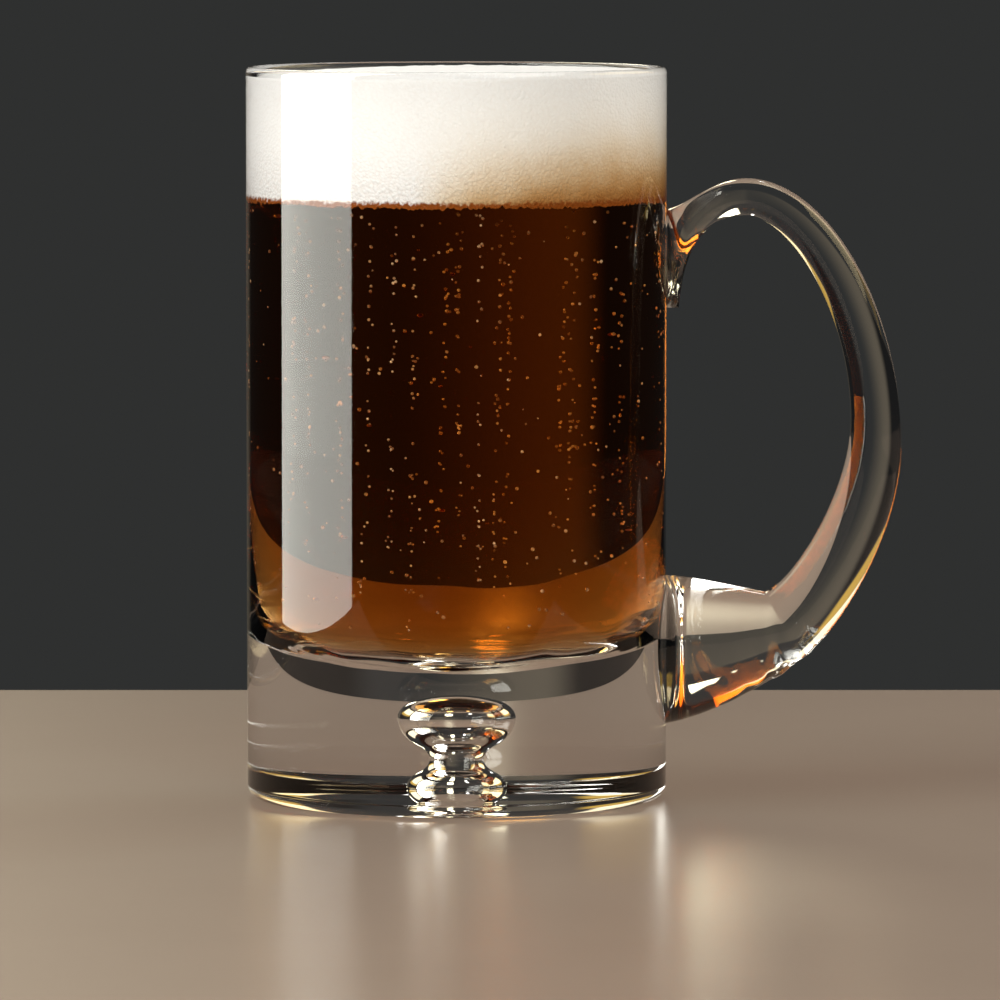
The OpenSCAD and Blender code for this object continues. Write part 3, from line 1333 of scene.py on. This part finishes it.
@dataclass
class Studio:
    """Pale table top, plain dark surround, soft lamps and the camera.

    The floor's sizes are in millimetres, those of lamps and camera in metres. The floor's edge is
    rounded by rings, each so far in from its side and so far down.
    """

    finish: FloorFinish = field(default_factory=FloorFinish)
    backdrop: Triple = (0.0285, 0.0295, 0.029)
    backdrop_turn: float = 60.0
    backdrop_soft: float = 40.0
    surround: Triple = (0.007, 0.007, 0.007)
    ambient: Triple = (0.22, 0.22, 0.22)
    lift_soft: float = 2.0
    cards: tuple[Card, ...] = (
        Card((3, 90), (-14, 10), (0.42, 0.36, 0.27), 0.25, 24.0),  # low band
        Card((21.5, 90), (-14, 10), (1.0, 1.0, 1.0), 0.010, 10.0),  # dark screens, left and right
        Card((-90, -18), (-14, 10), (1.0, 1.0, 1.0), 0.010, 8.0),
        Card((69, 121), (-25, 70), (1.0, 0.985, 0.89), 7.0),  # softbox
        Card((27, 64), (11, 19), (1.0, 0.62, 0.12), 0.65, 6.0),  # gold strips, left and right
        Card((-66, -37), (11, 19), (1.0, 0.62, 0.12), 0.65, 6.0),
        Card((33, 64), (19, 58), (1.0, 0.86, 0.58), 1.6, 6.0),  # warm wall, left
        Card((4, 9.5), (17, 34), (1.0, 0.93, 0.66), 7.0, 2.0, True),  # tall light
        Card((-12.5, -9.5), (34, 38), (1.0, 0.96, 0.90), 8.0, 1.5),  # small light
        Card((-90, -36), (19, 44), (1.0, 0.80, 0.44), 2.0, 6.0),  # warm wall, right
    )
    lamps: tuple[Lamp, ...] = (
        Lamp("key_left", (-0.85, -0.35, 0.45), (0.6, 0.9), 8.8),
        Lamp("fill_front", (0.15, -1.2, 0.6), (0.9, 0.8), 13.0, (1.0, 0.985, 0.965)),
        Lamp("top", (0.0, 0.1, 0.9), (0.7, 0.7), 2.0),
        Lamp("rim_right", (0.7, 0.45, 0.35), (0.25, 0.7), 4.2),
    )
    lamp_aim: Triple = (0.0, 0.0, 0.08)
    camera_place: Triple = (0.0088, -1.724, 0.195)
    camera_aim: Triple = (0.0088, 0.0, 0.0603)
    camera_sees: float = 20.0
    sensor: float = 36.0
    lens: float = 307.3
    bounces: int = 24
    floor_half_width: float = 420.0
    floor_back: float = 220.0
    floor_front: float = -320.0
    floor_thick: float = 30.0
    floor_corner: float = 12.0
    floor_corner_steps: int = 6
    floor_inset: float = 7.2
    floor_edge: tuple[Pair, ...] = ((2.0, 0.1), (0.5, 0.6), (0.0, 2.0))
    floor_gap: float = 0.2

    def build_floor(self) -> None:
        """Make the table top, a stack of rounded rectangles whose top lies at the mug's foot.

        A rounded rectangle is the centres of its four corners, each plus a quarter of a circle.
        """
        half = np.array([self.floor_half_width, (self.floor_back - self.floor_front) / 2])
        middle = np.array([0, (self.floor_back + self.floor_front) / 2])
        corner, thick = self.floor_corner, self.floor_thick
        quarter = np.radians(np.linspace(0, 90, self.floor_corner_steps + 1))
        turn = np.concatenate([quarter + k * np.pi / 2 for k in range(4)])
        way = np.stack([np.cos(turn), np.sin(turn)], axis=-1)
        signs = np.array([[1, 1], [-1, 1], [-1, -1], [1, -1]])
        centre = (half - corner) * np.repeat(signs, len(quarter), axis=0)
        top, side, under = (self.floor_inset, 0.0), (0.0, thick), (self.floor_inset, thick)
        inset, drop = np.array([top, *self.floor_edge, side, under]).T
        height = -drop - self.floor_gap
        flat = middle + centre + (corner - inset)[:, None, None] * way
        level = np.broadcast_to(height[:, None, None], (*flat.shape[:2], 1))
        rings = np.concatenate([flat, level], axis=-1)
        poles = [np.array([*middle, z]) for z in (height[0], height[-1])]
        floor = make_piece("table_top", stack_rings(rings, *poles), self.finish.material())
        sharp = np.zeros(len(floor.data.polygons), dtype=bool)
        floor.data.polygons.foreach_set("use_smooth", sharp)

    def build_world(self) -> None:
        """Make the surround: plain for the camera, even for rays that light, with cards for glass.

        A card is a mask in the turn and the lift of a ray, and lies over those before it.
        """
        world = bpy.data.worlds.new("studio")
        world.use_nodes = True
        bpy.context.scene.world = world
        sheet = NodeSheet(world.node_tree)
        way = sheet.add("SeparateXYZ", {0: sheet.add("TexCoord").outputs["Generated"]}).outputs
        turn = sheet.math("ARCTAN2", sheet.math("MULTIPLY", way["X"], -1.0), way["Y"])
        turn = sheet.math("MULTIPLY", turn, 180 / math.pi)
        lift = sheet.math("MULTIPLY", sheet.math("ARCSINE", way["Z"]), 180 / math.pi)
        path = sheet.add("LightPath").outputs
        unseen = sheet.math("SUBTRACT", 1.0, path["Is Camera Ray"])
        polished = sheet.math("MULTIPLY", unseen, path["Is Singular Ray"])
        behind = sheet.between(turn, -self.backdrop_turn, self.backdrop_turn, self.backdrop_soft)
        seen = sheet.blend(behind, (*self.surround, 1.0), (*self.backdrop, 1.0))
        for card in self.cards:
            across = sheet.between(turn, *card.turn, card.soft)
            mask = sheet.math("MULTIPLY", across, sheet.between(lift, *card.lift, self.lift_soft))
            lit = tuple(c * card.strength for c in card.colour)
            shown = unseen if card.on_satin else polished
            seen = sheet.blend(sheet.math("MULTIPLY", mask, shown), seen, (*lit, 1.0))
        looks = sheet.math("MAXIMUM", path["Is Glossy Ray"], path["Is Transmission Ray"])
        looks = sheet.math("MAXIMUM", looks, path["Is Camera Ray"])
        looks = sheet.math("MULTIPLY", looks, sheet.math("LESS_THAN", path["Diffuse Depth"], 0.5))
        colour = sheet.blend(looks, (*self.ambient, 1.0), seen)
        light = sheet.add("Background", {"Color": colour, "Strength": 1.0}).outputs[0]
        sheet.add("OutputWorld", {"Surface": light})

    def build_camera(self) -> None:
        """Make the camera where the photograph was taken from."""
        data = bpy.data.cameras.new("camera")
        data.lens = self.lens
        data.sensor_width = self.sensor
        data.clip_end = self.camera_sees
        camera = bpy.data.objects.new("camera", data)
        camera.location = self.camera_place
        aim = Vector(self.camera_aim) - Vector(self.camera_place)
        camera.rotation_euler = aim.to_track_quat("-Z", "Y").to_euler()
        bpy.context.scene.collection.objects.link(camera)
        bpy.context.scene.camera = camera

    def build(self) -> None:
        """Set the whole stage."""
        self.build_floor()
        self.build_world()
        self.build_camera()
        for lamp in self.lamps:
            lamp.build(Vector(self.lamp_aim))
        scene = bpy.context.scene
        scene.view_settings.view_transform = "Standard"
        scene.cycles.max_bounces = self.bounces
        scene.cycles.transmission_bounces = self.bounces
        scene.cycles.transparent_max_bounces = self.bounces


def main() -> None:
    """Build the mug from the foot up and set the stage."""
    logging.basicConfig(level=logging.INFO, format="%(name)s: %(message)s")
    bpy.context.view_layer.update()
    Studio().build()
    body = GlassBody()
    body.build(GlassFinish("blown_glass"), WettedGlassFinish())
    Handle(body).build(GlassFinish("pulled_glass", wave_size=12.0, wave_height=0.008))
    beer = Beer(body)
    beer.build(BeerFinish())
    GasBubbles(body, beer).build(GasFinish())
    FoamHead(body, beer).build(FoamFinish(foot_z=beer.level))


if __name__ == "__main__":
    main()
